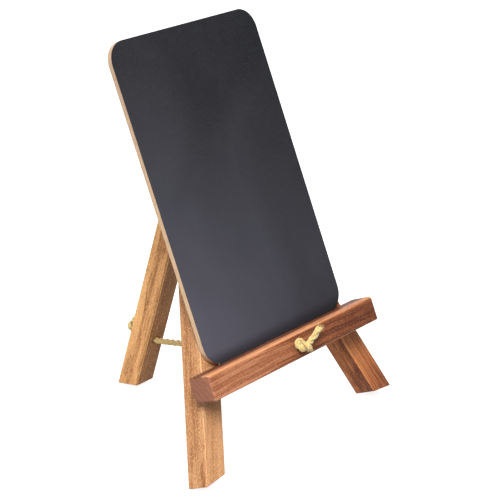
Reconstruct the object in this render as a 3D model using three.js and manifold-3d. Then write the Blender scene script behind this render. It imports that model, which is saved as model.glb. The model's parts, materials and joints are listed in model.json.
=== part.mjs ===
// Counter-top chalkboard easel: a tripod of square acacia legs that folds flat, with a ledge across
// the two front legs, a loose menu board standing on the ledge, and a knotted cord that stops the
// rear leg from opening further.
//
// Millimetres, +Z up, the front faces -Y. The origin is on the ground in the middle of the footprint.
//
// The front frame is drawn upright and then leaned back as one group. In its own axes x runs across,
// y is the depth behind the legs' front faces, and z is the height up the lean from the ground line.
// The rear leg is drawn hanging straight down from the hinge axis, which is its own origin.

import * as THREE from "three";
import { mergeVertices } from "three/addons/utils/BufferGeometryUtils.js";
import Module from "manifold-3d";

const wasm = await Module();
wasm.setup();

const { degToRad } = THREE.MathUtils;

// ---- driving dimensions ----

const LEAN = degToRad(22.8); // the front frame, back from upright
const SPLAY = degToRad(20.7); // each front leg, out from the middle of the frame
const REAR_LEAN = degToRad(17.4); // the rear leg, forward from upright, when open
const FOOT_CUT = degToRad(26.3); // all three feet, from square to their leg
const STOCK = 12; // side of the legs' square section
const SEAT = 0.2; // clearance between pieces that touch

const LEG_SPREAD = 45.9; // middle of the frame to a leg's centre line, at the ledge's top
const FRAME_TOP = 176; // the legs' flat top
const MITRE = 0.1; // half the joint between the front legs

const LEDGE_TOP = 52.7;
const LEDGE = { length: 122.5, height: 12, depth: 12.5, round: 1.8 };

const BOARD = { width: 100, height: 151, corner: 10, core: 2.4, skin: 0.3, bond: 0.05, shift: 0.5 };
const BOARD_DEPTH = BOARD.core + 2 * (BOARD.skin + BOARD.bond);

const HINGE_HEIGHT = 137.6; // hinge axis, up the lean
const LEAF = 0.8; // sheet thickness of the hinge
const KNUCKLE = { outer: 1.6, bore: 0.79, half: 2.1, end: 6, gap: 0.2 };
const PIN = { radius: 0.7, length: 12.8 };
const PLATE = { width: 30, height: 9, corner: 1.5, start: 2.2 };
const STRAP = { width: 10, length: 24, corner: 3.5, start: 2.2 };
const PLATE_SCREW_X = 11;
const STRAP_SCREWS = [8.5, 19.5]; // below the hinge axis

const HINGE_SCREW = { head: 1.9, shank: 0.85, headDepth: 1, tip: 1.6, length: 8 };
const LEDGE_SCREW = { head: 2.9, shank: 1.4, headDepth: 1.7, tip: 2.6, length: 19 };
const SCREW_CLEARANCE = 0.15;

const CORD_RADIUS = 1.5;
const CORD_HOLE = 2.2; // radius
const CORD_HOLE_DOWN = 99.1; // hole in the rear leg, below the hinge axis
const KNOT = { across: 4.5, deep: 3.5, tall: 3.6 }; // half sizes of a knot's envelope

// The cord from the front knot to the rear one, in the middle plane: [y, z]. It leaves the ledge
// square to it, sags a little between the legs and turns up into the rear leg's hole.
const CORD_ROUTE = [
  [-52.8, 48.05],
  [-48.9, 46.45],
  [-45.0, 44.8],
  [-41.1, 43.15],
  [-37.3, 41.95],
  [-33.4, 40.95],
  [-25.7, 39.15],
  [-17.9, 37.4],
  [-10.2, 35.7],
  [-2.5, 34.1],
  [5.2, 32.5],
  [12.9, 31.0],
  [20.7, 29.55],
  [28.4, 28.2],
  [33.2, 27.4],
  [36.6, 27.2],
  [40.0, 27.9],
  [43.6, 28.95],
  [47.7, 30.3],
];
const CORD_STEPS = 28;

// The loose tail of each knot, [x, y, z] from the knot's middle to the cut end.
const FRONT_TAIL = [
  [5.0, -0.2, 0.4],
  [7.8, -0.1, 1.1],
  [10.7, 0.1, 2.2],
  [13.8, 0.3, 3.5],
];
const REAR_TAIL = [
  [3.4, 0.9, -4.0],
  [4.6, 1.4, -6.6],
  [5.4, 1.3, -9.4],
];

// ---- materials ----

const acacia = new THREE.MeshStandardMaterial({ color: 0xb5763f, roughness: 0.55, metalness: 0 });
const darkAcacia = new THREE.MeshStandardMaterial({ color: 0x84502f, roughness: 0.55, metalness: 0 });
const slate = new THREE.MeshStandardMaterial({ color: 0x37383d, roughness: 0.85, metalness: 0 });
const fibreboard = new THREE.MeshStandardMaterial({ color: 0xc19a66, roughness: 0.8, metalness: 0 });
const brass = new THREE.MeshStandardMaterial({ color: 0xb08d4a, roughness: 0.35, metalness: 1 });
const steel = new THREE.MeshStandardMaterial({ color: 0x9a9a98, roughness: 0.4, metalness: 1 });
const twine = new THREE.MeshStandardMaterial({ color: 0xd8c37c, roughness: 0.9, metalness: 0 });

// ---- solids ----

function solid(geometry) {
  const bare = geometry.clone();
  for (const name of ["normal", "uv"]) bare.deleteAttribute(name);
  const merged = mergeVertices(bare, 1e-4);
  const mesh = new wasm.Mesh({
    numProp: 3,
    vertProperties: new Float32Array(merged.attributes.position.array),
    triVerts: new Uint32Array(merged.index.array),
  });
  return new wasm.Manifold(mesh);
}

function geometryOf(made) {
  const { vertProperties, triVerts } = made.getMesh();
  const geometry = new THREE.BufferGeometry();
  geometry.setAttribute("position", new THREE.BufferAttribute(new Float32Array(vertProperties), 3));
  geometry.setIndex(new THREE.BufferAttribute(new Uint32Array(triVerts), 1));
  geometry.computeVertexNormals();
  return geometry;
}

function cut(geometry, ...tools) {
  return geometryOf(tools.reduce((made, tool) => made.subtract(solid(tool)), solid(geometry)));
}

function join(geometry, ...others) {
  return geometryOf(others.reduce((made, other) => made.add(solid(other)), solid(geometry)));
}

// A shape drawn in x and z, given depth along y from its front face backwards.
function upright(shape, front, depth) {
  const geometry = new THREE.ExtrudeGeometry(shape, { depth, bevelEnabled: false, curveSegments: 6 });
  geometry.rotateX(Math.PI / 2);
  return geometry.translate(0, front + depth, 0);
}

// A shape drawn in y and z, given length along x about the middle plane.
function across(shape, length) {
  const geometry = new THREE.ExtrudeGeometry(shape, { depth: length, bevelEnabled: false, curveSegments: 6 });
  geometry.rotateY(Math.PI / 2).rotateX(Math.PI / 2);
  return geometry.translate(-length / 2, 0, 0);
}

function polygon(points) {
  return new THREE.Shape(points.map(([a, b]) => new THREE.Vector2(a, b)));
}

// A rectangle with its own radius at the bottom and at the top corners.
function roundedRectangle(left, bottom, width, height, bottomRadius, topRadius) {
  const right = left + width;
  const top = bottom + height;
  const quarter = Math.PI / 2;
  const shape = new THREE.Shape();
  const corners = [
    [right - bottomRadius, bottom + bottomRadius, bottomRadius, -quarter],
    [right - topRadius, top - topRadius, topRadius, 0],
    [left + topRadius, top - topRadius, topRadius, quarter],
    [left + bottomRadius, bottom + bottomRadius, bottomRadius, 2 * quarter],
  ];
  for (const [x, y, radius, start] of corners) {
    if (radius > 0) shape.absarc(x, y, radius, start, start + quarter, false);
    else shape.lineTo(x, y);
  }
  return shape;
}

// A countersunk wood screw along y, its head's flat face at y = 0 and its tip towards -y.
// With a clearance it is the hole for that screw, open above the head.
function screwGeometry({ head, shank, headDepth, tip, length }, clearance = 0) {
  const points = [
    [0, -length - clearance],
    [shank + clearance, -length + tip],
    [shank + clearance, -headDepth],
    [head + clearance, 0],
  ];
  if (clearance > 0) points.push([head + clearance, 1]);
  points.push([0, clearance > 0 ? 1 : 0]);
  return new THREE.LatheGeometry(points.map(([r, y]) => new THREE.Vector2(r, y)), 16);
}

function cylinderAlongX(radius, length) {
  return new THREE.CylinderGeometry(radius, radius, length, 20).rotateZ(Math.PI / 2);
}

function cordGeometry(points, steps) {
  const section = new THREE.Shape().absarc(0, 0, CORD_RADIUS, 0, 2 * Math.PI, false);
  const path = new THREE.CatmullRomCurve3(points.map((p) => new THREE.Vector3(...p)));
  return new THREE.ExtrudeGeometry(section, { steps, extrudePath: path, curveSegments: 4 });
}

function piece(name, geometry, material, parent) {
  const mesh = new THREE.Mesh(geometry, material);
  mesh.name = name;
  parent.add(mesh);
  return mesh;
}

// ---- front legs ----

const legHalfWidth = STOCK / 2 / Math.cos(SPLAY);
const legCentre = (height) => LEG_SPREAD + (LEDGE_TOP - height) * Math.tan(SPLAY);

// The foot's back corner is on the ground, so its front corner is a little up the lean.
const footHeight = STOCK * Math.tan(LEAN);

function frontLegShape(side) {
  const footSlope = Math.tan(FOOT_CUT - SPLAY);
  const footRun = (2 * legHalfWidth) / (1 - footSlope * Math.tan(SPLAY));
  const footOuter = legCentre(footHeight) + legHalfWidth;
  const crotch = LEDGE_TOP + (LEG_SPREAD - legHalfWidth - MITRE) / Math.tan(SPLAY);
  const outline = [
    [footOuter, footHeight],
    [legCentre(FRAME_TOP) + legHalfWidth, FRAME_TOP],
    [MITRE, FRAME_TOP],
    [MITRE, crotch],
    [footOuter - footRun, footHeight + footRun * footSlope],
  ];
  return polygon(outline.map(([x, z]) => [side * x, z]));
}

const ledgeMiddle = LEDGE_TOP - LEDGE.height / 2;
const plateScrewHeight = HINGE_HEIGHT + PLATE.start + PLATE.height / 2;
const plateBack = STOCK + SEAT + LEAF;

const screwHole = (screw, x, y, z) => screwGeometry(screw, SCREW_CLEARANCE).translate(x, y, z);
const ledgeScrewHole = (side) => screwHole(LEDGE_SCREW, side * legCentre(ledgeMiddle), STOCK, ledgeMiddle);
const plateScrewHole = (side) => screwHole(HINGE_SCREW, side * PLATE_SCREW_X, plateBack, plateScrewHeight);

function buildFrontLegs(frame) {
  for (const [side, word] of [[-1, "left"], [1, "right"]]) {
    const leg = upright(frontLegShape(side), 0, STOCK);
    piece(`${word}_front_leg`, cut(leg, ledgeScrewHole(side), plateScrewHole(side)), acacia, frame);
    const screw = piece(`${word}_ledge_screw`, screwGeometry(LEDGE_SCREW), steel, frame);
    screw.position.set(side * legCentre(ledgeMiddle), STOCK, ledgeMiddle);
  }
}

// ---- ledge ----

function buildLedge(frame) {
  const front = -SEAT - LEDGE.depth;
  const bottom = LEDGE_TOP - LEDGE.height;
  const section = new THREE.Shape();
  section.moveTo(front, bottom);
  section.lineTo(-SEAT, bottom);
  section.lineTo(-SEAT, LEDGE_TOP);
  section.absarc(front + LEDGE.round, LEDGE_TOP - LEDGE.round, LEDGE.round, Math.PI / 2, Math.PI, false);
  const cordHole = new THREE.CylinderGeometry(CORD_HOLE, CORD_HOLE, 3 * LEDGE.depth, 20);
  cordHole.translate(0, 0, ledgeMiddle);
  const bar = cut(across(section, LEDGE.length), cordHole, ledgeScrewHole(-1), ledgeScrewHole(1));
  piece("ledge", bar, darkAcacia, frame);
}

// ---- board ----

function buildBoard(frame) {
  const outline = roundedRectangle(
    BOARD.shift - BOARD.width / 2,
    LEDGE_TOP + SEAT,
    BOARD.width,
    BOARD.height,
    BOARD.corner,
    BOARD.corner,
  );
  const backSkin = -SEAT - BOARD.skin;
  const core = backSkin - BOARD.bond - BOARD.core;
  piece("board_back_face", upright(outline, backSkin, BOARD.skin), slate, frame);
  piece("board_core", upright(outline, core, BOARD.core), fibreboard, frame);
  piece("board_front_face", upright(outline, -SEAT - BOARD_DEPTH, BOARD.skin), slate, frame);
}

// ---- hinge ----

// The leaves lie tangent to the front of the barrel, so they are flush when the leg is folded.
const hingeDepth = STOCK + SEAT + KNUCKLE.outer;
const leafFront = -KNUCKLE.outer;

function knuckle(from, to) {
  return cylinderAlongX(KNUCKLE.outer, to - from).translate((from + to) / 2, 0, 0);
}

const bore = () => cylinderAlongX(KNUCKLE.bore, 2 * PIN.length);

// The short neck that joins a knuckle to its leaf, upwards or downwards.
function neck(from, to, start, way) {
  const depth = LEAF;
  const box = new THREE.BoxGeometry(to - from, depth, start + 0.4);
  return box.translate((from + to) / 2, leafFront + depth / 2, (way * (start + 0.4)) / 2);
}

function buildFixedLeaf(hinge) {
  const sheet = roundedRectangle(
    -PLATE.width / 2,
    PLATE.start,
    PLATE.width,
    PLATE.height,
    PLATE.corner,
    PLATE.corner,
  );
  const inner = KNUCKLE.half + KNUCKLE.gap;
  const parts = [-1, 1].flatMap((side) => {
    const ends = side < 0 ? [-KNUCKLE.end, -inner] : [inner, KNUCKLE.end];
    return [knuckle(...ends), neck(...ends, PLATE.start, 1)];
  });
  const holes = [-1, 1].map((side) =>
    screwHole(HINGE_SCREW, side * PLATE_SCREW_X, leafFront + LEAF, PLATE.start + PLATE.height / 2),
  );
  const leaf = cut(join(upright(sheet, leafFront, LEAF), ...parts), bore(), ...holes);
  piece("hinge_fixed_leaf", leaf, brass, hinge);
  piece("hinge_pin", cylinderAlongX(PIN.radius, PIN.length), brass, hinge);
  for (const [side, word] of [[-1, "left"], [1, "right"]]) {
    const screw = piece(`hinge_${word}_screw`, screwGeometry(HINGE_SCREW), brass, hinge);
    screw.position.set(side * PLATE_SCREW_X, leafFront + LEAF, PLATE.start + PLATE.height / 2);
  }
}

function strapScrewHole(down) {
  return screwGeometry(HINGE_SCREW, SCREW_CLEARANCE).rotateX(Math.PI).translate(0, leafFront, -down);
}

function buildMovingLeaf(rear) {
  const sheet = roundedRectangle(
    -STRAP.width / 2,
    -STRAP.start - STRAP.length,
    STRAP.width,
    STRAP.length,
    STRAP.corner,
    1,
  );
  const knuckleParts = [
    knuckle(-KNUCKLE.half, KNUCKLE.half),
    neck(-KNUCKLE.half, KNUCKLE.half, STRAP.start, -1),
  ];
  const holes = STRAP_SCREWS.map(strapScrewHole);
  const leaf = cut(join(upright(sheet, leafFront, LEAF), ...knuckleParts), bore(), ...holes);
  piece("hinge_moving_leaf", leaf, brass, rear);
  STRAP_SCREWS.forEach((down, i) => {
    const screw = piece(`hinge_strap_screw_${i + 1}`, screwGeometry(HINGE_SCREW), brass, rear);
    screw.rotation.x = Math.PI;
    screw.position.set(0, leafFront, -down);
  });
}

// ---- rear leg ----

const rearFront = leafFront + LEAF + SEAT; // its front face, from the hinge axis
const rearBack = rearFront + STOCK;

// Where the hinge axis is once the frame leans back, before the whole easel is centred.
const axisY = HINGE_HEIGHT * Math.sin(LEAN) + hingeDepth * Math.cos(LEAN);
const axisZ = HINGE_HEIGHT * Math.cos(LEAN) - hingeDepth * Math.sin(LEAN);

// The foot's back edge is on the ground.
const rearLength = (axisZ + rearBack * Math.sin(REAR_LEAN)) / Math.cos(REAR_LEAN);

function buildRearLeg(rear) {
  const side = polygon([
    [rearFront, -STRAP.start],
    [rearFront, -rearLength + STOCK * Math.tan(FOOT_CUT)],
    [rearBack, -rearLength],
    [rearBack, -STRAP.start],
  ]);
  const cordHole = new THREE.CylinderGeometry(CORD_HOLE, CORD_HOLE, 4 * STOCK, 20);
  cordHole.translate(0, 0, -CORD_HOLE_DOWN);
  const leg = cut(across(side, STOCK), cordHole, ...STRAP_SCREWS.map(strapScrewHole));
  piece("rear_leg", leg, acacia, rear);
}

// ---- cord ----

function buildCord(easel) {
  piece("cord", cordGeometry(CORD_ROUTE.map(([y, z]) => [0, y, z]), CORD_STEPS), twine, easel);
}

// A knot is a plain egg here, sitting against the face that it stops at, with its cut tail.
function buildKnot(word, tail, way, faceY, height, parent) {
  const knot = piece(`${word}_knot`, new THREE.SphereGeometry(1, 16, 10), twine, parent);
  knot.scale.set(KNOT.across, KNOT.deep, KNOT.tall);
  knot.position.set(0, faceY + way * (SEAT + KNOT.deep), height);
  const end = piece(`${word}_tail`, cordGeometry(tail, 4), twine, parent);
  end.position.copy(knot.position);
}

// ---- assembly ----

const frame = new THREE.Group();
frame.rotation.x = -LEAN;
buildFrontLegs(frame);
buildLedge(frame);
buildBoard(frame);
buildKnot("front", FRONT_TAIL, -1, -SEAT - LEDGE.depth, ledgeMiddle, frame);

const hinge = new THREE.Group();
hinge.position.set(0, hingeDepth, HINGE_HEIGHT);
buildFixedLeaf(hinge);
frame.add(hinge);

const rear = new THREE.Group();
rear.rotation.x = REAR_LEAN;
rear.position.set(0, axisY, axisZ);
buildRearLeg(rear);
buildMovingLeaf(rear);
buildKnot("rear", REAR_TAIL, 1, rearBack, -CORD_HOLE_DOWN, rear);

// The footprint runs from the front feet's front corners to the rear foot's back edge.
const frontY = footHeight * Math.sin(LEAN);
const backY = axisY + rearLength * Math.sin(REAR_LEAN) + rearBack * Math.cos(REAR_LEAN);
const standing = new THREE.Group();
standing.position.y = -(frontY + backY) / 2;
standing.add(frame, rear);

const easel = new THREE.Group();
easel.add(standing);
buildCord(easel);

export default easel;
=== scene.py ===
"""The looks of a counter-top menu chalkboard easel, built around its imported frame.

Named sizes are millimetres, as in the part's own drawing; meshes are metres. The front frame is drawn
upright and leaned back, as in the part: x across, y the depth behind the legs' front faces, z the
height up the lean. The rear leg is drawn hanging from the hinge axis.
"""

import json
import math
import random

import bmesh
import bpy
import numpy as np
from mathutils import Matrix, Vector


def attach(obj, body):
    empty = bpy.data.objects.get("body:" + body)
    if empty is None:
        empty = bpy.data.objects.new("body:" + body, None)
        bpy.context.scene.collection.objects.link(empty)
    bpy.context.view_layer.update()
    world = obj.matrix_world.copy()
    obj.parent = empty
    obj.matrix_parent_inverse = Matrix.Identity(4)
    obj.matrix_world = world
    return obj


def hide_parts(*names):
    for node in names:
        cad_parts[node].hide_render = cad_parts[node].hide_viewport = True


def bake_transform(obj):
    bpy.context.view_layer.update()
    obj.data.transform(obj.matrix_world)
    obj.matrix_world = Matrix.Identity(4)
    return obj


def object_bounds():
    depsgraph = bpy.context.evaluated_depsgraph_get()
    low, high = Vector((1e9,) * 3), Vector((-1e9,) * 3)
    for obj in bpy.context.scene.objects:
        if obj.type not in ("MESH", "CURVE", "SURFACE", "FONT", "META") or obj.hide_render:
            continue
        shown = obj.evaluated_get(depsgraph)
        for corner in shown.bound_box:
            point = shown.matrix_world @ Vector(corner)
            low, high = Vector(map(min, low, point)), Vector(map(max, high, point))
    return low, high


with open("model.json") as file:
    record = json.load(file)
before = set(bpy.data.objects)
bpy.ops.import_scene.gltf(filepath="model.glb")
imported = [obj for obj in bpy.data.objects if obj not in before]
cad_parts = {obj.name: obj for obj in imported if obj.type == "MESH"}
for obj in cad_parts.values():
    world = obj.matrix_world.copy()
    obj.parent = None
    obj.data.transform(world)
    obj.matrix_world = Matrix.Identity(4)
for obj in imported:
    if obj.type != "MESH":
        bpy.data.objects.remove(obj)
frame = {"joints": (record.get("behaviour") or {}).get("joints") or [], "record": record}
cad_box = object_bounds()

MM = 0.001

# ---- sizes ----

SPLAY = math.radians(20.7)
REAR_LEAN = math.radians(17.4)
FOOT_CUT = math.radians(26.3)
STOCK = 12.0  # the legs are square
SEAT = 0.2  # the drawing's gap between pieces that touch
LEG_SPREAD = 45.9  # from the middle to a front leg's centre, at the ledge's top
FRAME_TOP = 176.0
MITRE = 0.1
LEDGE_TOP = 52.7
LEDGE_LENGTH, LEDGE_HEIGHT, LEDGE_DEPTH, LEDGE_ROUND = 122.5, 12.0, 12.5, 1.8
BOARD_WIDTH, BOARD_HEIGHT, BOARD_CORNER, BOARD_SHIFT = 100.0, 151.0, 10.0, 0.5
BOARD_CORE, BOARD_SKIN = 2.5, 0.3
CORE_INSET, BACK_INSET = 0.12, 0.4  # how far inside the front skin's outline the others stop
SETTLE = 0.18  # how much of the gaps under the board and behind the ledge is closed here
LEG_EASE, LEDGE_EASE, BOARD_EASE, HINGE_EASE = 0.55, 0.9, 0.1, 0.12  # the worn edges
HINGE_HEIGHT = 137.6
LEAF = 0.8
KNUCKLE_OUTER, KNUCKLE_BORE, KNUCKLE_HALF, KNUCKLE_END, KNUCKLE_GAP = 1.6, 0.79, 2.1, 6.0, 0.2
PIN_RADIUS, PIN_LENGTH = 0.7, 12.8
PLATE_WIDTH, PLATE_HEIGHT, PLATE_CORNER, PLATE_START = 30.0, 9.0, 1.5, 2.2
STRAP_WIDTH, STRAP_LENGTH, STRAP_CORNER, STRAP_START = 10.0, 24.0, 3.5, 2.2
PLATE_SCREW_X = 11.0
STRAP_SCREWS = (8.5, 19.5)
HINGE_SCREW = {"head": 1.9, "shank": 0.85, "head_depth": 1.0, "tip": 1.6, "length": 8.0}
LEDGE_SCREW = {"head": 2.9, "shank": 1.4, "head_depth": 1.7, "tip": 2.6, "length": 19.0}
LEDGE_SCREW_SUNK = 0.15
LEDGE_SCREW_SINK = [(0, -1.9), (1.6, -1.9), (3.05, -0.1), (3.3, 0), (3.3, 1), (0, 1)]  # radius, y
SINK_ROOM = 0.15  # round a hinge screw in its hole
THREAD_PITCH = 0.9

CORD = 3.0
CORD_HOLE = 2.2  # radius
CORD_HOLE_DOWN = 99.1  # below the hinge axis

# The cord from the front knot to the rear one, in the middle plane, in metres: y, z.
CORD_ROUTE = [
    (-0.0528, 0.04805), (-0.0489, 0.04645), (-0.0450, 0.0448), (-0.0411, 0.04315),
    (-0.0373, 0.04195), (-0.0334, 0.04095), (-0.0257, 0.03915), (-0.0179, 0.0374),
    (-0.0102, 0.0357), (-0.0025, 0.0341), (0.0052, 0.0325), (0.0129, 0.0310),
    (0.0207, 0.02955), (0.0284, 0.0282), (0.0332, 0.0274), (0.0366, 0.0272),
    (0.0400, 0.0279), (0.0436, 0.02895), (0.0477, 0.0303),
]

# ---- places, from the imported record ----

chalk_axis = Vector(next(m["axis"] for m in frame["record"]["mounts"] if m["name"] == "chalk_face"))
LEAN = math.atan2(chalk_axis.z, -chalk_axis.y)
hinge_axis = Vector(next(j["pos_m"] for j in frame["joints"] if j["name"] == "rear_leg_fold"))

hinge_depth = STOCK + SEAT + KNUCKLE_OUTER
leaf_front = -KNUCKLE_OUTER
rear_front = leaf_front + LEAF + SEAT
rear_back = rear_front + STOCK
ledge_middle = LEDGE_TOP - LEDGE_HEIGHT / 2
ledge_front = -SEAT - LEDGE_DEPTH
leg_half_width = STOCK / 2 / math.cos(SPLAY)
foot_height = STOCK * math.tan(LEAN)


def place_at(x, y, z):
    """The place of a point given in millimetres."""
    return Matrix.Translation(Vector((x, y, z)) * MM)


HINGE = Matrix.Translation(hinge_axis) @ Matrix.Rotation(-LEAN, 4, "X")
FRONT = HINGE @ place_at(0, -hinge_depth, -HINGE_HEIGHT)
REAR = Matrix.Translation(hinge_axis) @ Matrix.Rotation(REAR_LEAN, 4, "X")


# ---- scene helpers ----


def linked(name, data):
    """A new object of some data, in the scene."""
    made = bpy.data.objects.new(name, data)
    bpy.context.scene.collection.objects.link(made)
    return made


def aim(thing, target, azimuth, elevation, distance):
    """Stands a camera or a light off from a target and faces it. Azimuth 0 is the easel's front."""
    level = math.cos(elevation)
    back = Vector((math.sin(azimuth) * level, -math.cos(azimuth) * level, math.sin(elevation)))
    thing.location = target + back * distance
    thing.rotation_mode = "QUATERNION"
    thing.rotation_quaternion = (-back).to_track_quat("-Z", "Y")


# ---- camera ----

CAMERA_AZIMUTH = math.radians(-50.84)
CAMERA_ELEVATION = math.radians(20.17)
CAMERA_DISTANCE = 0.7785
CAMERA_TARGET = Vector((-0.04284, -0.05901, 0.10881))
CAMERA_LENS = 130.1


def add_camera():
    data = bpy.data.cameras.new("camera")
    data.lens = CAMERA_LENS
    data.sensor_width = 36
    camera = linked("camera", data)
    aim(camera, CAMERA_TARGET, CAMERA_AZIMUTH, CAMERA_ELEVATION, CAMERA_DISTANCE)
    bpy.context.scene.camera = camera


# ---- shader helpers ----


class Shader:
    """A material's node tree, with short calls for the nodes used here."""

    def __init__(self, name):
        self.material = bpy.data.materials.new(name)
        self.material.use_nodes = True
        self.tree = self.material.node_tree
        self.surface = self.tree.nodes["Principled BSDF"]

    def node(self, kind, **settings):
        made = self.tree.nodes.new("ShaderNode" + kind)
        for key, value in settings.items():
            setattr(made, key, value)
        return made

    def feed(self, socket, value):
        if isinstance(value, bpy.types.NodeSocket):
            self.tree.links.new(value, socket)
        else:
            socket.default_value = value

    def set(self, **values):
        for key, value in values.items():
            self.feed(self.surface.inputs[key.replace("_", " ")], value)

    def object_coordinates(self, offset=(0, 0, 0)):
        """The piece's own coordinates in millimetres, shifted."""
        mapping = self.node("Mapping")
        self.feed(mapping.inputs["Vector"], self.node("TexCoord").outputs["Object"])
        self.feed(mapping.inputs["Scale"], (1 / MM, 1 / MM, 1 / MM))
        self.feed(mapping.inputs["Location"], offset)
        return mapping.outputs["Vector"]

    def split(self, vector):
        """A vector's X, Y and Z."""
        made = self.node("SeparateXYZ")
        self.feed(made.inputs[0], vector)
        return made.outputs

    def stretch(self, vector, scale):
        mapping = self.node("Mapping")
        self.feed(mapping.inputs["Vector"], vector)
        self.feed(mapping.inputs["Scale"], scale)
        return mapping.outputs["Vector"]

    def noise(self, vector, scale, detail=2.0, roughness=0.5, distortion=0.0):
        made = self.node("TexNoise")
        self.feed(made.inputs["Vector"], vector)
        self.feed(made.inputs["Scale"], scale)
        self.feed(made.inputs["Detail"], detail)
        self.feed(made.inputs["Roughness"], roughness)
        self.feed(made.inputs["Distortion"], distortion)
        return made.outputs["Fac"]

    def math(self, operation, a, b=0.0, c=0.0):
        made = self.node("Math", operation=operation)
        for socket, value in zip(made.inputs, (a, b, c)):
            self.feed(socket, value)
        return made.outputs[0]

    def range(self, value, low, high, to_low=0.0, to_high=1.0):
        """An easy passage from one value to another, as a value passes between two places."""
        made = self.node("MapRange", clamp=True, interpolation_type="SMOOTHSTEP")
        for socket, number in zip(made.inputs, (value, low, high, to_low, to_high)):
            self.feed(socket, number)
        return made.outputs[0]

    def ramp(self, value, *stops):
        made = self.node("ValToRGB")
        elements = made.color_ramp.elements
        while len(elements) < len(stops):
            elements.new(0.5)
        for element, (place, colour) in zip(elements, stops):
            element.position = place
            element.color = (*colour, 1)
        self.feed(made.inputs["Fac"], value)
        return made.outputs["Color"]

    def mix(self, factor, a, b):
        made = self.node("Mix", data_type="RGBA")
        for socket, value in zip((made.inputs[0], made.inputs[6], made.inputs[7]), (factor, a, b)):
            self.feed(socket, (*value, 1) if isinstance(value, tuple) else value)
        return made.outputs[2]

    def bump(self, height, distance, strength):
        made = self.node("Bump")
        self.feed(made.inputs["Strength"], strength)
        self.feed(made.inputs["Distance"], distance)
        self.feed(made.inputs["Height"], height)
        return made.outputs["Normal"]


def srgb(red, green, blue):
    """An sRGB colour, 0 to 255, as the linear colour that shaders take."""
    return tuple(
        c / 12.92 if c <= 0.04045 else ((c + 0.055) / 1.055) ** 2.4
        for c in (red / 255, green / 255, blue / 255)
    )


# ---- materials ----


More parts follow.
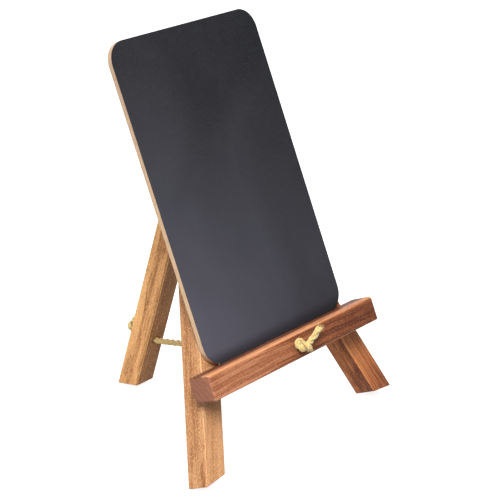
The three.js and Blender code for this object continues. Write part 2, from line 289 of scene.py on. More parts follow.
def acacia(name, pale, middle, dark, pith, ring, seed, figure, wear_and_highlight, tone_and_shade_drifts):
    """Oiled acacia as a solid wood: rings round a pith, streaks along z, pores and ray flecks.

    The grain runs along the piece's own z, so one pattern shows as straight lines on the faces that
    cut the rings, as short dashes on the faces along them, and as dots on the cut ends. Figure is how
    strongly the ray flecks show, and wear_and_highlight how pale the long eased edges are: partly rubbed
    by handling, partly a painted highlight. A drift is an axis, the two places it runs between, and how
    much darker the wood is painted at the second; several of them are painted shade or painted light.
    """
    s = Shader(name)
    along = seed * 100  # each piece shows another length of the pattern
    at = s.object_coordinates(offset=(0, 0, along))
    parts = s.split(at)

    # slow bends of the grain along the stock
    bend = s.node("TexNoise")
    s.feed(bend.inputs["Vector"], s.stretch(at, (0.05, 0.05, 0.014)))
    s.feed(bend.inputs["Scale"], 1.0)
    s.feed(bend.inputs["Detail"], 3.0)
    shift = s.node("VectorMath", operation="MULTIPLY_ADD")
    s.feed(shift.inputs[0], bend.outputs["Color"])
    s.feed(shift.inputs[1], (7.0, 7.0, 0.0))
    s.feed(shift.inputs[2], at)
    bent = shift.outputs[0]

    from_pith = s.split(bent)
    across = s.math("POWER", s.math("ADD", from_pith["X"], pith[0]), 2.0)
    deep = s.math("POWER", s.math("ADD", from_pith["Y"], pith[1]), 2.0)
    radius = s.math("SQRT", s.math("ADD", across, deep))
    waver = s.noise(s.stretch(bent, (0.5, 0.5, 0.02)), 1.0, 3.0, 0.6)
    phase = s.math("ADD", s.math("DIVIDE", radius, ring), s.math("MULTIPLY", waver, 2.2))
    rings = s.math("MULTIPLY_ADD", s.math("SINE", s.math("MULTIPLY", phase, 2 * math.pi)), 0.5, 0.5)

    # broad heartwood bands and fine straight streaks
    bands = s.noise(s.stretch(bent, (0.16, 0.16, 0.007)), 1.0, 2.0, 0.5)
    layers = s.noise(s.stretch(bent, (1.9, 0.28, 0.011)), 1.0, 4.0, 0.66)
    tone = s.math("MULTIPLY", s.range(rings, 0.35, 1.0), 0.18)
    tone = s.math("ADD", tone, s.range(bands, 0.36, 0.68, 0.0, 0.36))
    tone = s.math("ADD", tone, s.range(layers, 0.42, 0.68, 0.0, 0.56))
    for axis, start, end, amount in tone_and_shade_drifts:
        place = s.math("SUBTRACT", parts[axis], along if axis == "Z" else 0)
        tone = s.math("ADD", tone, s.range(place, start, end, 0.0, amount))
    colour = s.ramp(tone, (0.0, pale), (0.45, middle), (1.0, dark))

    # ray flecks: small pale and dark lenses; pores: fine dark dashes along the grain
    flecks = s.noise(s.stretch(at, (3.3, 2.3, 1.15)), 1.0, 2.0, 0.6, 0.3)
    bright = (min(1.0, pale[0] * 1.32), pale[1] * 1.34, pale[2] * 1.05)
    deep_tone = (middle[0] * 0.66, middle[1] * 0.50, middle[2] * 0.38)
    colour = s.mix(s.range(flecks, 0.52, 0.64, 0.0, 0.72 * figure), colour, bright)
    colour = s.mix(s.range(flecks, 0.48, 0.36, 0.0, 0.74 * figure), colour, deep_tone)
    pores = s.noise(s.stretch(at, (3.0, 3.0, 0.33)), 1.0, 2.0, 0.5)
    pore = s.range(pores, 0.59, 0.70)
    colour = s.mix(s.math("MULTIPLY", pore, 0.60), colour, tuple(c * 0.45 for c in dark))

    # a cut end drinks more oil: greyer and plainer than the long faces, with its rings showing
    facing = s.split(s.node("TexCoord").outputs["Normal"])
    faced = [s.math("ABSOLUTE", facing[axis]) for axis in "XYZ"]
    end = s.range(faced[2], 0.75, 0.93)
    grey = sum(middle) / 3
    dull = tuple(1.08 * c + 0.28 * grey for c in middle)
    dots = s.noise(s.stretch(at, (2.4, 2.4, 0.5)), 1.0, 2.0, 0.5)
    cut = s.mix(s.range(dots, 0.40, 0.65, 0.0, 0.5), dull, tuple(c * 0.62 for c in dull))
    cut = s.mix(s.range(rings, 0.4, 1.0, 0.0, 0.5), cut, tuple(c * 0.55 for c in dull))
    colour = s.mix(s.math("MULTIPLY", end, 0.85), colour, cut)

    # the long eased edges are where no face looks straight along an axis; they are paled, part rubbed by
    # handling, part painted highlight
    flattest = s.math("MAXIMUM", s.math("MAXIMUM", faced[0], faced[1]), s.range(faced[2], 0.1, 0.4))
    patchy = s.range(layers, 0.30, 0.60, wear_and_highlight, wear_and_highlight / 2)
    colour = s.mix(s.math("MULTIPLY", s.range(flattest, 0.97, 0.86), patchy), colour, bright)

    fibre = s.noise(s.stretch(at, (8.0, 8.0, 0.25)), 1.0, 2.0, 0.6)
    height = s.math("SUBTRACT", s.math("MULTIPLY", fibre, 0.3), s.math("MULTIPLY", pore, 0.9))
    s.set(
        Base_Color=colour,
        Roughness=s.range(layers, 0.3, 0.75, 0.46, 0.62),
        Normal=s.bump(height, 0.00006, 0.8),
        Specular_IOR_Level=0.40,
    )
    return s.material


def chalkboard(name):
    """Matt black board lacquer: a fine tooth, a cloud of wiped chalk, and painted light that pales it
    low and to the left.

    Z 0 is the board's foot, X 0 its middle.
    """
    s = Shader(name)
    at = s.object_coordinates()
    parts = s.split(at)
    tooth = s.noise(at, 2.2, 4.0, 0.65)
    cloud = s.noise(s.stretch(at, (0.02, 0.02, 0.013)), 1.0, 3.0, 0.5, 0.6)
    # painted light: paler towards the foot and the left side, where more light falls on the board
    low = s.range(parts["Z"], 160, -20)
    left = s.range(parts["X"], 55, -60)
    chalk_haze_and_painted_light = s.math("MULTIPLY", low, s.math("MULTIPLY_ADD", left, 0.6, 0.4))
    chalk_haze_and_painted_light = s.math("MULTIPLY_ADD", chalk_haze_and_painted_light, 0.75, s.range(cloud, 0.3, 0.7, 0.04, 0.15))
    colour = s.ramp(chalk_haze_and_painted_light, (0.05, srgb(14, 15, 18)), (0.35, srgb(43, 43, 49)), (0.90, srgb(75, 74, 86)))
    colour = s.mix(s.range(tooth, 0.45, 0.72, 0.0, 0.34), colour, srgb(66, 67, 73))
    colour = s.mix(s.range(tooth, 0.46, 0.30, 0.0, 0.35), colour, srgb(17, 18, 20))
    # painted shade along the foot, where the board meets the ledge
    colour = s.mix(s.range(parts["Z"], 7, 0.5, 0.0, 0.75), colour, srgb(17, 18, 20))
    s.set(
        Base_Color=colour,
        Roughness=s.range(tooth, 0.3, 0.7, 0.60, 0.72),
        Normal=s.bump(tooth, 0.00005, 0.7),
        Specular_IOR_Level=0.22,
    )
    return s.material


def fibreboard(name):
    """The sawn edge of the board: pale pressed fibre in thin layers."""
    s = Shader(name)
    at = s.object_coordinates()
    parts = s.split(at)
    layers = s.noise(s.stretch(at, (0.35, 5.5, 0.35)), 1.0, 3.0, 0.6)
    fibre = s.noise(at, 3.2, 3.0, 0.7)
    colour = s.ramp(
        layers, (0.25, srgb(150, 118, 90)), (0.5, srgb(190, 160, 128)), (0.8, srgb(208, 182, 154))
    )
    colour = s.mix(s.range(fibre, 0.55, 0.75, 0.0, 0.45), colour, srgb(122, 92, 64))
    # greyer towards the top
    colour = s.mix(s.range(parts["Z"], 30, 160, 0.0, 0.6), colour, srgb(140, 120, 104))
    s.set(Base_Color=colour, Roughness=0.82, Normal=s.bump(fibre, 0.00006, 0.8))
    return s.material


def twine(name, pale, middle, dark):
    """Twisted cotton cord: fine fibres along each strand, from the mesh's own strand coordinates."""
    s = Shader(name)
    strand = s.node("Attribute", attribute_name="strand").outputs["Vector"]
    fibres = s.noise(s.stretch(strand, (14.0, 0.9, 1.0)), 1.0, 3.0, 0.65)
    patches = s.noise(s.object_coordinates(), 0.35, 2.0, 0.5)
    fuzz = s.noise(s.object_coordinates(), 6.0, 3.0, 0.7)
    colour = s.ramp(fibres, (0.3, dark), (0.5, middle), (0.72, pale))
    colour = s.mix(s.range(patches, 0.35, 0.7, 0.0, 0.45), colour, middle)
    height = s.math("ADD", fibres, s.math("MULTIPLY", fuzz, 0.4))
    s.set(
        Base_Color=colour,
        Roughness=0.86,
        Normal=s.bump(height, 0.00012, 0.9),
        Sheen_Weight=0.35,
        Sheen_Roughness=0.5,
        Subsurface_Weight=0.08,
        Subsurface_Scale=0.0006,
    )
    return s.material


def metal(name, colour, dull, roughness, grain):
    """Rolled or plated metal with fine handling marks and a little tarnish."""
    s = Shader(name)
    at = s.object_coordinates()
    marks = s.noise(s.stretch(at, grain), 1.0, 3.0, 0.6)
    tarnish = s.noise(at, 0.55, 4.0, 0.6, 0.5)
    s.set(
        Base_Color=s.mix(s.range(tarnish, 0.42, 0.72, 0.0, 0.75), colour, dull),
        Metallic=1.0,
        Roughness=s.range(marks, 0.3, 0.7, roughness, roughness + 0.16),
        Normal=s.bump(marks, 0.00001, 0.5),
    )
    return s.material


left_wood = acacia(
    "acacia_left_leg", pale=srgb(196, 149, 108), middle=srgb(175, 125, 85), dark=srgb(130, 80, 48),
    pith=(70, 8), ring=3.4, seed=0.7, figure=0.9, wear_and_highlight=0.35,
    # painted light: the front face a little paler, as more light falls on it than on the left face
    tone_and_shade_drifts=(("Y", 2.0, 0.0, -0.12),),
)
right_wood = acacia(
    "acacia_right_leg", pale=srgb(204, 134, 84), middle=srgb(168, 100, 58), dark=srgb(86, 38, 20),
    pith=(-66, 9), ring=2.9, seed=3.1, figure=0.5, wear_and_highlight=0.75,
    # darker towards the leg's outer side and towards its foot
    tone_and_shade_drifts=(("X", 1.6, 5.0, 0.24), ("Z", 32, 10, 0.38)),
)
rear_wood = acacia(
    "acacia_rear_leg", pale=srgb(234, 180, 120), middle=srgb(208, 150, 96), dark=srgb(142, 90, 54),
    pith=(58, -12), ring=3.1, seed=5.3, figure=0.6, wear_and_highlight=0.5,
    # painted shade: the front face darker, as it faces down and lies in the board's shadow
    tone_and_shade_drifts=(("Y", 1.4, -0.6, 0.66),),
)
ledge_wood = acacia(
    "acacia_ledge", pale=srgb(174, 120, 88), middle=srgb(134, 76, 46), dark=srgb(70, 25, 8),
    pith=(24, 44), ring=2.6, seed=8.9, figure=0.45, wear_and_highlight=0.75,
    tone_and_shade_drifts=(
        # painted shade darker towards the right end, away from the key light; painted light on the
        # rounded top edge; paler towards the bottom; painted shade on the back of the top, beside the
        # board
        ("Z", -58, 62, 0.52), ("X", -4.2, -6.0, -0.85), ("X", 2.5, 6.0, -0.2), ("Y", -10.8, -6.0, 1.25),
    ),
)
black_face = chalkboard("chalkboard_black")
board_edge = fibreboard("fibreboard_edge")
cord_cotton = twine("cord_cotton", srgb(220, 199, 140), srgb(190, 165, 102), srgb(112, 88, 42))
brass = metal("brass", (0.82, 0.62, 0.30), (0.52, 0.37, 0.17), 0.26, (0.4, 6.0, 6.0))
zinc = metal("zinc_plate", (0.66, 0.66, 0.64), (0.45, 0.45, 0.44), 0.30, (4.0, 4.0, 4.0))


# ---- mesh helpers ----


SHARP = math.radians(38)


def smooth_mesh(name, bm, material):
    """A smooth mesh in metres of a bmesh drawn in millimetres, which is used up."""
    bmesh.ops.scale(bm, vec=(MM, MM, MM), verts=bm.verts)
    mesh = bpy.data.meshes.new(name)
    bm.to_mesh(mesh)
    bm.free()
    mesh.materials.append(material)
    for polygon in mesh.polygons:
        polygon.use_smooth = True
    return mesh


def put(name, bm, material, place, body, slot, *replaced):
    """Makes a piece of a bmesh drawn in millimetres, in place, riding on its body."""
    name = "seen_" + name
    mesh = smooth_mesh(name, bm, material)
    mesh.set_sharp_from_angle(angle=SHARP)
    piece = linked(name, mesh)
    piece.matrix_world = place
    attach(piece, body)
    if replaced:
        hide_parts(*replaced)
    return piece


def weighted(piece):
    """Keeps the flat faces flat beside their eased edges."""
    modifier = piece.modifiers.new("weighted normals", "WEIGHTED_NORMAL")
    modifier.keep_sharp = True
    modifier.weight = 60


def prism(outline, front, depth):
    """A closed solid of an outline in x and z, from y = front backwards."""
    bm = bmesh.new()
    near = [bm.verts.new((x, front, z)) for x, z in outline]
    far = [bm.verts.new((x, front + depth, z)) for x, z in outline]
    bm.faces.new(near)
    bm.faces.new(far[::-1])
    for i, vertex in enumerate(near):
        after = (i + 1) % len(near)
        bm.faces.new((near[after], vertex, far[i], far[after]))
    bmesh.ops.recalc_face_normals(bm, faces=bm.faces)
    return bm


def swapped(bm):
    """Swaps x and y, so that an outline drawn in x and z faces along x instead."""
    bmesh.ops.rotate(bm, matrix=Matrix.Rotation(-math.pi / 2, 3, "Z"), verts=bm.verts)
    bmesh.ops.scale(bm, vec=(1, -1, 1), verts=bm.verts)
    bmesh.ops.recalc_face_normals(bm, faces=bm.faces)
    return bm


def ease(bm, width, segments=3, sharper_than=25.0):
    """Rounds every edge that turns more than an angle, in degrees."""
    edges = [e for e in bm.edges if e.calc_face_angle(0) > math.radians(sharper_than)]
    bmesh.ops.bevel(
        bm, geom=edges, offset=width, offset_type="OFFSET", segments=segments, profile=0.5,
        affect="EDGES", clamp_overlap=True,
    )
    return bm


def turned(profile, sides=32):
    """A closed solid turned round the y axis: the profile is [radius, y] from axis to axis."""
    bm = bmesh.new()
    rings = []
    for radius, y in profile:
        if radius < 1e-6:
            rings.append([bm.verts.new((0, y, 0))])
            continue
        angles = (2 * math.pi * k / sides for k in range(sides))
        rings.append([bm.verts.new((radius * math.cos(a), y, radius * math.sin(a))) for a in angles])
    for low, high in zip(rings, rings[1:]):
        for k in range(sides):
            after = (k + 1) % sides
            # a ring of one vertex lies on the axis, and makes its faces triangles
            corners = [
                low[k % len(low)], low[after % len(low)], high[after % len(high)], high[k % len(high)],
            ]
            bm.faces.new(list(dict.fromkeys(corners)))
    bmesh.ops.recalc_face_normals(bm, faces=bm.faces)
    return bm


def arc(x, z, radius, start, end, steps=8):
    """Points on an arc, angles in degrees."""
    angles = (math.radians(start + (end - start) * k / steps) for k in range(steps + 1))
    return [(x + radius * math.cos(a), z + radius * math.sin(a)) for a in angles]


def rounded(left, bottom, width, height, low_corner, high_corner, steps=8):
    """A rectangle's outline with its bottom and top corners rounded."""
    right, top = left + width, bottom + height
    return [
        *arc(right - low_corner, bottom + low_corner, low_corner, -90, 0, steps),
        *arc(right - high_corner, top - high_corner, high_corner, 0, 90, steps),
        *arc(left + high_corner, top - high_corner, high_corner, 90, 180, steps),
        *arc(left + low_corner, bottom + low_corner, low_corner, 180, 270, steps),
    ]


def boolean(bm, operation, *tools):
    """Cuts the tools out of a closed bmesh, or joins them to it. The tools are used up."""
    objects = []
    for made in (bm, *tools):
        mesh = bpy.data.meshes.new("boolean")
        made.to_mesh(mesh)
        made.free()
        objects.append(linked("boolean", mesh))
    base = objects[0]
    for tool in objects[1:]:
        modifier = base.modifiers.new("boolean", "BOOLEAN")
        modifier.operation = operation
        modifier.solver = "EXACT"
        modifier.object = tool
    bpy.context.view_layer.update()
    result = bmesh.new()
    result.from_mesh(base.evaluated_get(bpy.context.evaluated_depsgraph_get()).to_mesh())
    for made in objects:
        mesh = made.data
        bpy.data.objects.remove(made)
        bpy.data.meshes.remove(mesh)
    bmesh.ops.remove_doubles(result, verts=result.verts, dist=1e-4)
    return result


def bore(radius, length, lip=0.35):
    """A tool for a round hole along y through a piece, from y = 0 to length, with eased rims."""
    mouth, worn = radius + lip, radius + lip * 0.3
    return turned([
        (0, -2), (mouth + 2, -2), (mouth, 0), (worn, lip * 0.3), (radius, lip),
        (radius, length - lip), (worn, length - lip * 0.3), (mouth, length),
        (mouth + 2, length + 2), (0, length + 2),
    ])


def moved(bm, x=0.0, y=0.0, z=0.0):
    bmesh.ops.translate(bm, vec=(x, y, z), verts=bm.verts)
    return bm


# ---- wooden pieces ----


def leg_centre(height):
    """How far from the middle a front leg's centre is at a height."""
    return LEG_SPREAD + (LEDGE_TOP - height) * math.tan(SPLAY)


def grain_axes(x, z, turn):
    """A place in the front frame whose z runs along a piece's grain."""
    return place_at(x, 0, z) @ Matrix.Rotation(turn, 4, "Y")


def in_axes(bm, axes):
    """A bmesh drawn in millimetres, redrawn in a piece's own axes."""
    inverse = axes.inverted()
    inverse.translation = inverse.translation / MM
    bmesh.ops.transform(bm, matrix=inverse, verts=bm.verts)
    return bm


def front_leg(side, name, wood):
    """A splayed front leg, mitred against the other at the top: side -1 is the left one."""
    slope = math.tan(FOOT_CUT - SPLAY)
    run = 2 * leg_half_width / (1 - slope * math.tan(SPLAY))
    outer = leg_centre(foot_height) + leg_half_width
    crotch = LEDGE_TOP + (LEG_SPREAD - leg_half_width - MITRE) / math.tan(SPLAY)
    outline = [
        (outer, foot_height),
        (leg_centre(FRAME_TOP) + leg_half_width, FRAME_TOP),
        (MITRE, FRAME_TOP),
        (MITRE, crotch),
        (outer - run, foot_height + run * slope),
    ]
    leg = ease(prism([(side * x, z) for x, z in outline], 0, STOCK), LEG_EASE)
    sink = moved(turned(LEDGE_SCREW_SINK), side * leg_centre(ledge_middle), STOCK, ledge_middle)
    leg = boolean(leg, "DIFFERENCE", sink)
    axes = grain_axes(side * leg_centre(0), 0, -side * SPLAY)
    weighted(put(name, in_axes(leg, axes), wood, FRONT @ axes, "front_frame", "acacia", name))


def ledge():
    """The ledge, rounded along its top front edge and bored for the cord."""
    bottom = LEDGE_TOP - LEDGE_HEIGHT
    section = [
        (SETTLE - SEAT, bottom), (SETTLE - SEAT, LEDGE_TOP),
        *arc(ledge_front + LEDGE_ROUND, LEDGE_TOP - LEDGE_ROUND, LEDGE_ROUND, 90, 180),
        (ledge_front, bottom),
    ]
    bar = swapped(prism(section, -LEDGE_LENGTH / 2, LEDGE_LENGTH))
    edges = [e for e in bar.edges if e.calc_face_angle(0) > math.radians(60)]
    bmesh.ops.bevel(
        bar, geom=edges, offset=LEDGE_EASE, offset_type="OFFSET", segments=4, profile=0.5,
        affect="EDGES",
    )
    hole = moved(bore(CORD_HOLE, LEDGE_DEPTH + SETTLE), 0, ledge_front, ledge_middle)
    bar = boolean(bar, "DIFFERENCE", hole)
    axes = grain_axes(0, ledge_middle, math.pi / 2)
    bar = in_axes(bar, axes)
    weighted(put("ledge", bar, ledge_wood, FRONT @ axes, "front_frame", "dark_acacia", "ledge"))


def rear_leg():
    """The rear leg, its foot cut at an angle, bored for the cord."""
    length = (hinge_axis.z / MM + rear_back * math.sin(REAR_LEAN)) / math.cos(REAR_LEAN)
    side = [
        (rear_front, -STRAP_START),
        (rear_front, -length + STOCK * math.tan(FOOT_CUT)),
        (rear_back, -length),
        (rear_back, -STRAP_START),
    ]
    leg = ease(swapped(prism(side, -STOCK / 2, STOCK)), LEG_EASE)
    hole = moved(bore(CORD_HOLE, STOCK, 0.25), 0, rear_front, -CORD_HOLE_DOWN)
    leg = boolean(leg, "DIFFERENCE", hole)
    weighted(put("rear_leg", leg, rear_wood, REAR, "rear_stay", "acacia", "rear_leg"))


# ---- board ----


def board():
    """The loose board: a core between two painted skins."""
    place = FRONT @ place_at(BOARD_SHIFT, 0, LEDGE_TOP + SEAT - SETTLE)
    back = -SEAT - BOARD_SKIN
    core = back - BOARD_CORE
    front = core - BOARD_SKIN
    plates = (
        ("board_back_face", back, BOARD_SKIN, BACK_INSET, black_face, "chalkboard_black"),
        ("board_core", core, BOARD_CORE, CORE_INSET, board_edge, "fibreboard"),
        ("board_front_face", front, BOARD_SKIN, 0.0, black_face, "chalkboard_black"),
    )
    for name, near, depth, inset, material, slot in plates:
        corner = BOARD_CORNER - inset
        outline = rounded(
            inset - BOARD_WIDTH / 2, inset, BOARD_WIDTH - 2 * inset, BOARD_HEIGHT - 2 * inset,
            corner, corner, 16,
        )
        plate = ease(prism(outline, near, depth), BOARD_EASE, 2)
        weighted(put(name, plate, material, place, "menu_board", slot, name))


# ---- screws and hinge ----


def screw(name, size, place, body, slot, material):
    """A countersunk screw along y, its head at y = 0, with a cross recess and a rolled thread."""
    head, shank, length = size["head"], size["shank"], size["length"]
    core = shank * 0.72
    profile = [(0, -length), (core * 0.35, -length + size["tip"] * 0.35), (core, -length + size["tip"])]
    turns = int((length - size["head_depth"] - size["tip"] - 1.5) / THREAD_PITCH)
    for k in range(turns):
        y = -length + size["tip"] + THREAD_PITCH * k
        profile += [(core, y + 0.1), (shank, y + 0.45), (core, y + 0.8)]
    profile += [
        (shank * 0.9, -size["head_depth"] - 0.6), (shank * 0.9, -size["head_depth"]),
        (head * 0.97, -0.16), (head, -0.06), (head * 0.96, 0), (head * 0.5, 0.03), (0, 0.03),
    ]
    slots = []
    half, slit = head * 0.55, head * 0.14
    for turn in (20, 110):
        cut = prism([(-half, -slit), (half, -slit), (half, slit), (-half, slit)], -head * 0.42, head)
        for vertex in cut.verts:
            if vertex.co.y < 0:
                vertex.co.x *= 0.35  # the cross narrows as it goes in
        bmesh.ops.rotate(cut, matrix=Matrix.Rotation(math.radians(turn), 3, "Y"), verts=cut.verts)
        slots.append(cut)
    put(name, boolean(turned(profile, 28), "DIFFERENCE", *slots), material, place, body, slot, name)


def ledge_screws():
    for side, word in ((-1, "left"), (1, "right")):
        place = FRONT @ place_at(side * leg_centre(ledge_middle), STOCK - LEDGE_SCREW_SUNK, ledge_middle)
        turn = Matrix.Rotation(side * 0.4, 4, "Y")
        screw(
            f"{word}_ledge_screw", LEDGE_SCREW, place @ turn, "front_frame", "screw_steel", zinc,
        )


def knuckle_section(way):
    """The leaf's rolled end, in y and z: up from the barrel for way 1, down for -1."""
    reach = PLATE_START + 0.6
    outer = [(y, z * way) for y, z in arc(0, 0, KNUCKLE_OUTER, 180, 485, 26)]
    inner = [(y, z * way) for y, z in arc(0, 0, KNUCKLE_BORE, 485, 180, 26)]
    return [*outer, *inner, (-KNUCKLE_BORE, reach * way), (-KNUCKLE_OUTER, reach * way)]


def knuckle(low, high, way):
    """One rolled knuckle round the x axis, from x = low to high."""
    return swapped(prism(knuckle_section(way), low, high - low))


def sink_tool(flipped=False):
    """The countersunk hole of a hinge leaf, open towards +y, or -y when flipped."""
    head, shank = HINGE_SCREW["head"] + SINK_ROOM, HINGE_SCREW["shank"] + SINK_ROOM
    deep = HINGE_SCREW["head_depth"]
    tool = turned([(0, -3), (shank, -3), (shank, -deep), (head, 0), (head, 1), (0, 1)])
    if flipped:
        bmesh.ops.rotate(tool, matrix=Matrix.Rotation(math.pi, 3, "X"), verts=tool.verts)
    return tool


def soften(piece):
    """Eases the edges of a hinge leaf."""
    modifier = piece.modifiers.new("softened edges", "BEVEL")
    modifier.width = HINGE_EASE * MM
    modifier.segments = 2
    modifier.limit_method = "ANGLE"
    modifier.angle_limit = math.radians(50)
    modifier.harden_normals = True


def hinge():
    """The T-hinge: a cross plate with two knuckles, a strap with the middle one, the pin, screws."""
    inner = KNUCKLE_HALF + KNUCKLE_GAP
    leaf_back = leaf_front + LEAF
    screw_height = PLATE_START + PLATE_HEIGHT / 2
    plate = prism(
        rounded(-PLATE_WIDTH / 2, PLATE_START, PLATE_WIDTH, PLATE_HEIGHT, PLATE_CORNER, PLATE_CORNER),
        leaf_front, LEAF,
    )
    plate = boolean(plate, "UNION", knuckle(-KNUCKLE_END, -inner, 1), knuckle(inner, KNUCKLE_END, 1))
    holes = [moved(sink_tool(), side * PLATE_SCREW_X, leaf_back, screw_height) for side in (-1, 1)]
    plate = boolean(plate, "DIFFERENCE", *holes)
    soften(put("hinge_fixed_leaf", plate, brass, HINGE, "front_frame", "brass", "hinge_fixed_leaf"))

    half = PIN_LENGTH / 2
    pin = turned([
        (0, -half), (PIN_RADIUS * 0.6, -half + 0.05), (PIN_RADIUS, -half + 0.3),
        (PIN_RADIUS, half - 0.3), (PIN_RADIUS * 0.6, half - 0.05), (0, half),
    ])
    bmesh.ops.rotate(pin, matrix=Matrix.Rotation(math.pi / 2, 3, "Z"), verts=pin.verts)
    put("hinge_pin", pin, brass, HINGE, "front_frame", "brass", "hinge_pin")

    for side, word in ((-1, "left"), (1, "right")):
        place = HINGE @ place_at(side * PLATE_SCREW_X, leaf_back, screw_height)
        turn = Matrix.Rotation(side * 0.7, 4, "Y")
        screw(f"hinge_{word}_screw", HINGE_SCREW, place @ turn, "front_frame", "brass", brass)

    strap_end = -STRAP_START - STRAP_LENGTH
    strap = prism(
        rounded(-STRAP_WIDTH / 2, strap_end, STRAP_WIDTH, STRAP_LENGTH, STRAP_CORNER, 1.0),
        leaf_front, LEAF,
    )
    strap = boolean(strap, "UNION", knuckle(-KNUCKLE_HALF, KNUCKLE_HALF, -1))
    holes = [moved(sink_tool(flipped=True), 0, leaf_front, -down) for down in STRAP_SCREWS]
    strap = boolean(strap, "DIFFERENCE", *holes)
    soften(put("hinge_moving_leaf", strap, brass, REAR, "rear_stay", "brass", "hinge_moving_leaf"))
    for i, down in enumerate(STRAP_SCREWS):
        place = REAR @ (place_at(0, leaf_front, -down) @ Matrix.Rotation(math.pi, 4, "X"))
        turn = Matrix.Rotation(0.5 + i, 4, "Y")
        screw(f"hinge_strap_screw_{i + 1}", HINGE_SCREW, place @ turn, "rear_stay", "brass", brass)


# ---- cord and knots ----

STRAND_LAY = 11.0  # one turn of the three strands
STRAND_SIDES = 18
ROPE_STEP = 0.4
YARNS, YARN_LAY, YARN_SWELL = 5, 3.4, 0.045
FIBRE_LAY = 17.0  # one turn of the fibres in the material


def smooth_line(points, step):
    """A Catmull-Rom curve through the points, resampled at even steps, and how far along each is."""
    points = np.array(points, float)
    before = 2 * points[0] - points[1]
    after = 2 * points[-1] - points[-2]
    p = np.vstack([before, points, after])
    t = np.linspace(0, 1, 12, endpoint=False)[:, None]
    spans = [
        0.5 * (
            2 * b + (c - a) * t + (2 * a - 5 * b + 4 * c - d) * t ** 2 + (3 * b - a - 3 * c + d) * t ** 3
        )
        for a, b, c, d in zip(p, p[1:], p[2:], p[3:])
    ]
    fine = np.vstack([*spans, points[-1:]])
    along = np.concatenate([[0], np.cumsum(np.linalg.norm(np.diff(fine, axis=0), axis=1))])
    at = np.linspace(0, along[-1], max(3, round(along[-1] / step) + 1))
    return np.stack([np.interp(at, along, fine[:, k]) for k in range(3)], axis=1), at


def carried_axes(line):
    """Tangents and two side directions carried along a line without twist."""
    tangent = np.gradient(line, axis=0)
    tangent /= np.linalg.norm(tangent, axis=1, keepdims=True)
    side = np.zeros_like(line)
    side[0] = np.cross(tangent[0], (1.0, 0.17, 0.29))
    for i in range(len(line)):
        if i:
            side[i] = side[i - 1]
        side[i] -= tangent[i] * (side[i] @ tangent[i])
        side[i] /= np.linalg.norm(side[i])
    return tangent, side, np.cross(tangent, side)


def close_tube(bm, rings):
    """Faces between rings of vertices, and a cap at each end."""
    for low, high in zip(rings, rings[1:]):
        for k in range(len(low)):
            after = (k + 1) % len(low)
            bm.faces.new((low[k], low[after], high[after], high[k]))
    bm.faces.new(rings[0][::-1])
    bm.faces.new(rings[-1])


def add_strand(bm, layer, line, along, radii, seed):
    """A closed tube along a line, its surface rolled a little into yarns.

    The layer holds each vertex's place round the strand, its place along it, and the strand's seed.
    """
    _, side, other = carried_axes(line)
    angles = np.linspace(0, 2 * math.pi, STRAND_SIDES, endpoint=False)
    rings = []
    for i, centre in enumerate(line):
        swell = 1 + YARN_SWELL * np.cos(YARNS * angles - 2 * math.pi * along[i] / YARN_LAY)
        ring = centre + radii[i] * swell[:, None] * (
            np.cos(angles)[:, None] * side[i] + np.sin(angles)[:, None] * other[i]
        )
        verts = [bm.verts.new(p) for p in ring]
        for vertex, angle in zip(verts, angles):
            vertex[layer] = (angle / (2 * math.pi) - along[i] / FIBRE_LAY, along[i], seed)
        rings.append(verts)
    close_tube(bm, rings)


def rope(points, diameter, step=ROPE_STEP, loose_end=0.0, start_turn=0.0):
    """Three strands laid round a line, as one bmesh in the line's own units, millimetres.

    Over the last loose_end of the line the strands untwist, swell and part, as towards a cut end.
    """
    line, along = smooth_line(points, step)
    _, side, other = carried_axes(line)
    outer = diameter / 2
    strand = outer / (1 + 2 / math.sqrt(3))
    bm = bmesh.new()
    layer = bm.verts.layers.float_vector.new("strand")
    left = along[-1] - along
    loose = np.clip(1 - left / loose_end, 0, 1) if loose_end else np.zeros(len(line))
    laid = np.concatenate([[0], np.cumsum(np.diff(along) * (1 - 0.8 * loose[1:]))])
    offset = (outer - strand) * (1 + 0.22 * loose)
    radii = strand * (1.10 + 0.20 * loose)
    for k in range(3):
        turn = 2 * math.pi * (laid / STRAND_LAY + k / 3) + start_turn
        centre = line + offset[:, None] * (
            np.cos(turn)[:, None] * side + np.sin(turn)[:, None] * other
        )
        add_strand(bm, layer, centre, along, radii, 7.0 * k)
    bmesh.ops.recalc_face_normals(bm, faces=bm.faces)
    return bm


# A knot is found by drawing a loose overhand knot and pulling it tight.
KNOT_CORD = 2.75  # pulled tight, the cord is a little thinner
KNOT_STEP = 0.32
KNOT_CONTACT = 2.3  # centre to centre where the soft cord presses on itself
KNOT_CLOSE = KNOT_CONTACT * 0.97  # nearer than this, it is pushed apart
KNOT_BEND = 1.45  # the tightest radius
KNOT_FACE = 1.3  # the cord's centre over the face that the knot stops at
KNOT_POINTS = 72
KNOT_ROUNDS = 420
KNOT_HELD, KNOT_PULLED = 0.3, 0.75  # the shares of the rounds when its ends and its length are final
KNOT_SETTLING = 12  # passes over the cord's own stiffness in each round
FREE_TAIL = 11.0  # the part of its length that hangs out of the knot


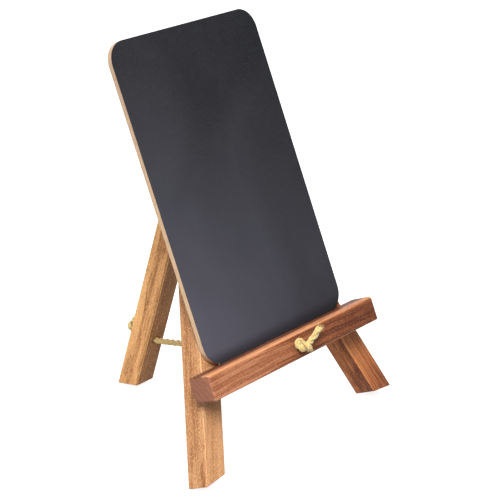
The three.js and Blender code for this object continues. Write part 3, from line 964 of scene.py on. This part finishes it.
def tight_knot(length, tail, turn, tilt, centre):
    """The centreline of an overhand knot from a hole at the origin, facing -y, to its tail's end.

    The turn and tilt say how the loose knot is held before it is pulled, which sets how it lies.
    """
    t = np.linspace(-2.12, 2.12, KNOT_POINTS)
    loose = np.stack([3 * t - t ** 3, (t ** 5 - 10 * t) * 0.13, t ** 4 - 4 * t ** 2 + 1.2], axis=1) * 3.6
    spin = Matrix.Rotation(tilt, 3, "X") @ Matrix.Rotation(turn, 3, "Y")
    line = loose @ np.array(spin).T + (0, -9, 0)
    tail, centre = np.array(tail), np.array(centre)
    first, second = np.triu_indices(KNOT_POINTS, 1)
    loose_length = np.linalg.norm(np.diff(line, axis=0), axis=1).sum()
    for k in range(KNOT_ROUNDS):
        pull = min(1, k / (KNOT_ROUNDS * KNOT_PULLED))
        held = min(1, k / (KNOT_ROUNDS * KNOT_HELD))
        step = (loose_length + (length - loose_length) * pull) / (KNOT_POINTS - 1)
        mouth = np.array((0, -step, 0))
        line[0] *= 1 - held
        line[1] = line[1] * (1 - held) + mouth * held
        line[-1] = line[-1] * (1 - held) + tail * held
        line[3:-8] += (centre - line[6:-14].mean(0)) * 0.05 * held
        apart = (second - first) * step > 1.55 * KNOT_CONTACT
        a, b = first[apart], second[apart]
        for _ in range(KNOT_SETTLING):
            for start in (0, 1):  # the cord doesn't stretch
                near, far = line[start:-1:2], line[start + 1::2]
                n = min(len(near), len(far))
                gap = far[:n] - near[:n]
                size = np.linalg.norm(gap, axis=1, keepdims=True)
                change = (size - step) / size * 0.5 * gap
                near[:n] += change
                far[:n] -= change
            reach = min(4 * step, math.pi * KNOT_BEND)  # nor does it crease
            least = 2 * KNOT_BEND * math.sin(reach / (2 * KNOT_BEND))
            gap = line[4:] - line[:-4]
            size = np.linalg.norm(gap, axis=1, keepdims=True)
            change = np.maximum(least - size, 0) / np.maximum(size, 1e-6) * 0.25 * gap
            line[4:] += change
            line[:-4] -= change
            gap = line[b] - line[a]  # nor does it pass through itself
            size = np.linalg.norm(gap, axis=1)
            close = size < KNOT_CLOSE
            share = (KNOT_CLOSE - size[close]) / np.maximum(size[close], 1e-6) * 0.175
            np.add.at(line, b[close], share[:, None] * gap[close])
            np.add.at(line, a[close], -share[:, None] * gap[close])
            line[2:, 1] = np.minimum(line[2:, 1], -KNOT_FACE)
            line[0] = 0
            line[1] = mouth
            if held == 1:
                line[-1] = tail
    return line


def knot(name, place, body, shape, cad_nodes, seed):
    """A tied overhand knot with its frayed tail, over a hole whose mouth is at the place's origin."""
    line = tight_knot(**shape)
    inside_hole = (0, 1.2, 0)
    made = rope([inside_hole, *line], KNOT_CORD, KNOT_STEP, loose_end=FREE_TAIL, start_turn=0.8)
    piece = put(name, made, cord_cotton, place, body, "cord", *cad_nodes)
    return [piece, put(name + "_fray", fray(line, seed), cord_cotton, place, body, "cord")]


FRAY_FIBRES = 70


def fray(line, seed):
    """Loose fibres that stand out of a cut end."""
    draw = random.Random(seed)
    bm = bmesh.new()
    layer = bm.verts.layers.float_vector.new("strand")
    tip, way = line[-1], line[-1] - line[-3]
    way = way / np.linalg.norm(way)
    side = np.cross(way, (0.3, 0.2, 0.9))
    side /= np.linalg.norm(side)
    other = np.cross(way, side)
    for _ in range(FRAY_FIBRES):
        angle, out = draw.uniform(0, 2 * math.pi), 1.15 * math.sqrt(draw.random())
        spoke = math.cos(angle) * side + math.sin(angle) * other
        length = draw.uniform(0.8, 1.9)
        start = tip + spoke * out - way * 1.0
        curl = np.array([draw.uniform(-0.5, 0.5) for _ in range(3)])
        path = [
            start,
            start + way * (0.8 + length * 0.4) + spoke * 0.15,
            start + way * (0.9 + length * 0.75) + spoke * (0.3 + 0.2 * out) + curl * 0.35,
            start + way * (1.0 + length * 0.95) + spoke * (0.5 + 0.4 * out) + curl * 0.8,
        ]
        fibre_line, along = smooth_line(path, 0.3)
        add_fibre(bm, layer, fibre_line, along, draw.uniform(0.05, 0.085))
    bmesh.ops.recalc_face_normals(bm, faces=bm.faces)
    return bm


def add_fibre(bm, layer, line, along, radius):
    """A closed five-sided hair, thinner at its tip."""
    _, side, other = carried_axes(line)
    rings = []
    for i, centre in enumerate(line):
        thin = radius * (1 - 0.6 * along[i] / along[-1])
        verts = []
        for k in range(5):
            angle = 2 * math.pi * k / 5
            spoke = math.cos(angle) * side[i] + math.sin(angle) * other[i]
            verts.append(bm.verts.new(centre + thin * spoke))
            verts[-1][layer] = (k / 5, along[i], 3.0)
        rings.append(verts)
    close_tube(bm, rings)


def cord_and_knots():
    """The two knots and the cord between them."""
    front_place = FRONT @ place_at(0, ledge_front - SEAT, ledge_middle)
    front_shape = {
        "length": 35, "tail": (14.3, -3.0, 3.4), "centre": (0.9, -3.2, -0.7),
        "turn": math.radians(180), "tilt": math.radians(100),
    }
    front = knot(
        "front_knot_tied", front_place, "front_frame", front_shape, ("front_knot", "front_tail"), 11
    )

    rear_place = REAR @ place_at(0, rear_back + SEAT, -CORD_HOLE_DOWN)
    rear_place = rear_place @ Matrix.Rotation(math.pi, 4, "Z")
    rear_shape = {
        "length": 33, "tail": (-5.6, -2.4, -9.6), "centre": (0, -3.0, 1.2), "turn": 0, "tilt": 0,
    }
    rear = knot(
        "rear_knot_tied", rear_place, "rear_stay", rear_shape, ("rear_knot", "rear_tail"), 23
    )

    route = [(0, y / MM, z / MM) for y, z in CORD_ROUTE]
    cord = linked("cord_strands", smooth_mesh("cord_strands", rope(route, CORD), cord_cotton))
    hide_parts("cord")
    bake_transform(cord)


# ---- floor, world and light ----


def camera_bright(tree, socket, light, seen):
    """A strength that the camera sees as one value and the easel is lit by as another."""
    path = tree.nodes.new("ShaderNodeLightPath")
    strength = tree.nodes.new("ShaderNodeMapRange")
    strength.inputs["To Min"].default_value = light
    strength.inputs["To Max"].default_value = seen
    tree.links.new(path.outputs["Is Camera Ray"], strength.inputs["Value"])
    tree.links.new(strength.outputs["Result"], socket)


def add_floor():
    """A pale paper floor, which the camera sees as white as the world behind it."""
    bm = bmesh.new()
    bmesh.ops.create_circle(bm, cap_ends=True, radius=6.0, segments=96)
    mesh = bpy.data.meshes.new("floor")
    bm.to_mesh(mesh)
    bm.free()
    s = Shader("floor_paper")
    grain = s.noise(s.object_coordinates(), 0.6, 2.0, 0.5)
    s.set(Base_Color=s.ramp(grain, (0.3, (0.44, 0.44, 0.44)), (0.7, (0.46, 0.46, 0.46))), Roughness=0.9)
    s.set(Emission_Color=(1, 1, 1, 1))
    camera_bright(s.tree, s.surface.inputs["Emission Strength"], 0.08, 0.88)
    mesh.materials.append(s.material)
    linked("floor", mesh)


def add_light(name, azimuth, elevation, distance, size, power, colour=(1, 1, 1)):
    """A square softbox aimed at the middle of the easel, its angles in degrees."""
    data = bpy.data.lights.new(name, "AREA")
    data.shape = "SQUARE"
    data.size = size
    data.energy = power
    data.color = colour
    middle = (cad_box[0] + cad_box[1]) / 2
    aim(linked(name, data), middle, math.radians(azimuth), math.radians(elevation), distance)


def add_world():
    """An even white studio."""
    world = bpy.data.worlds.new("studio")
    world.use_nodes = True
    background = world.node_tree.nodes["Background"]
    background.inputs["Color"].default_value = (1, 1, 1, 1)
    camera_bright(world.node_tree, background.inputs["Strength"], 0.13, 1.0)
    bpy.context.scene.world = world


add_camera()
cord_and_knots()
front_leg(-1, "left_front_leg", left_wood)
front_leg(1, "right_front_leg", right_wood)
ledge()
rear_leg()
board()
ledge_screws()
hinge()
add_floor()
add_world()
add_light(
    "key", azimuth=-54, elevation=47, distance=0.8, size=0.42, power=11.0, colour=(1.0, 0.985, 0.965)
)
add_light("overhead", azimuth=0, elevation=85, distance=0.9, size=0.7, power=6.5)
add_light("back", azimuth=140, elevation=30, distance=1.1, size=0.8, power=6.0)
bpy.context.scene.view_settings.view_transform = "Standard"
